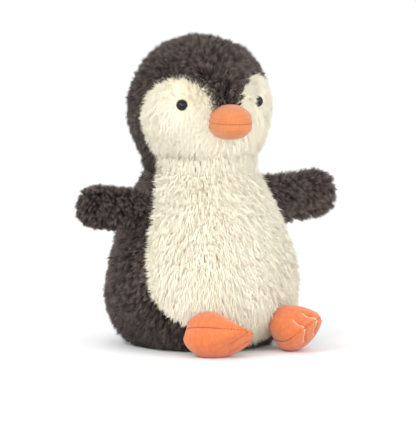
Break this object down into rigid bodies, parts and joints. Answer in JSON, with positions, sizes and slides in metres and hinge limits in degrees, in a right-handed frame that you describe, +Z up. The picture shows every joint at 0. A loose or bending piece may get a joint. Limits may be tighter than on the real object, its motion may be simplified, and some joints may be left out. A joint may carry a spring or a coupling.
{
  "type": "plush penguin",
  "caption": "Sitting soft toy penguin with dark pile back, cream face and belly, flat wings, stuffed beak and webbed feet, and a bean-weighted seat.",
  "frame": {"origin": "middle of the flat seat, on the surface the toy sits on", "axes": "+Z up, the belly faces -Y, +X towards the toy's own left wing"},
  "size_m": [0.2182, 0.1612, 0.219],
  "materials": {
    "dark_plush": "deep pile, soft sheen",
    "cream_plush": "deep pile, soft sheen",
    "orange_suede": "short brushed nap, matte",
    "eye_bead": "polished",
    "washer": "moulded",
    "stuffing": "loose polyester fibre",
    "pouch_cloth": "plain woven",
    "bean_pellets": "small moulded pellets"
  },
  "bodies": {
    "body": {"base_panel": "dark_plush", "belly_panel": "cream_plush", "back_panel_left": "dark_plush", "back_panel_right": "dark_plush", "bean_pouch": "pouch_cloth", "bean_fill": "bean_pellets", "body_stuffing": "stuffing"},
    "neck": {"neck_stuffing": "stuffing"},
    "head": {"head_panel_left": "dark_plush", "head_panel_right": "dark_plush", "cheek_panel_left": "cream_plush", "cheek_panel_right": "cream_plush", "head_stuffing": "stuffing", "beak_upper": "orange_suede", "beak_lower": "orange_suede", "beak_stuffing": "stuffing", "eye_left": "eye_bead", "eye_right": "eye_bead", "eye_washer_left": "washer", "eye_washer_right": "washer"},
    "wing_left": {"wing_left_front": "dark_plush", "wing_left_back": "dark_plush", "wing_left_stuffing": "stuffing"},
    "foot_left": {"foot_left_top": "orange_suede", "foot_left_sole": "orange_suede", "foot_left_stuffing": "stuffing"},
    "wing_right": {"wing_right_front": "dark_plush", "wing_right_back": "dark_plush", "wing_right_stuffing": "stuffing"},
    "foot_right": {"foot_right_top": "orange_suede", "foot_right_sole": "orange_suede", "foot_right_stuffing": "stuffing"}
  },
  "joints": [
    {"name": "head_turn", "type": "hinge", "parent": "body", "child": "neck", "pos_m": [0, 0, 0.135], "axis": [0, 0, 1], "range_deg": [-24, 46], "stiffness_Nm_per_rad": 0.05},
    {"name": "head_nod", "type": "hinge", "parent": "neck", "child": "head", "pos_m": [0, 0, 0.135], "axis": [0.9816, -0.1908, 0], "range_deg": [-14, 14], "stiffness_Nm_per_rad": 0.2},
    {"name": "wing_left_swing", "type": "hinge", "parent": "body", "child": "wing_left", "pos_m": [0.05642, -0.004, 0.10088], "axis": [-0.3514, 0, 0.9362], "range_deg": [-50, 40], "stiffness_Nm_per_rad": 0.03},
    {"name": "wing_right_swing", "type": "hinge", "parent": "body", "child": "wing_right", "pos_m": [-0.05642, -0.004, 0.10088], "axis": [-0.3514, 0, -0.9362], "range_deg": [-50, 40], "stiffness_Nm_per_rad": 0.03},
    {"name": "foot_left_tilt", "type": "hinge", "parent": "body", "child": "foot_left", "pos_m": [0.02303, -0.04939, 0.012], "axis": [-0.9063, -0.4226, 0], "range_deg": [-20, 20], "stiffness_Nm_per_rad": 0.03},
    {"name": "foot_right_tilt", "type": "hinge", "parent": "body", "child": "foot_right", "pos_m": [-0.02303, -0.04939, 0.012], "axis": [-0.9063, 0.4226, 0], "range_deg": [-20, 20], "stiffness_Nm_per_rad": 0.03}
  ]
}
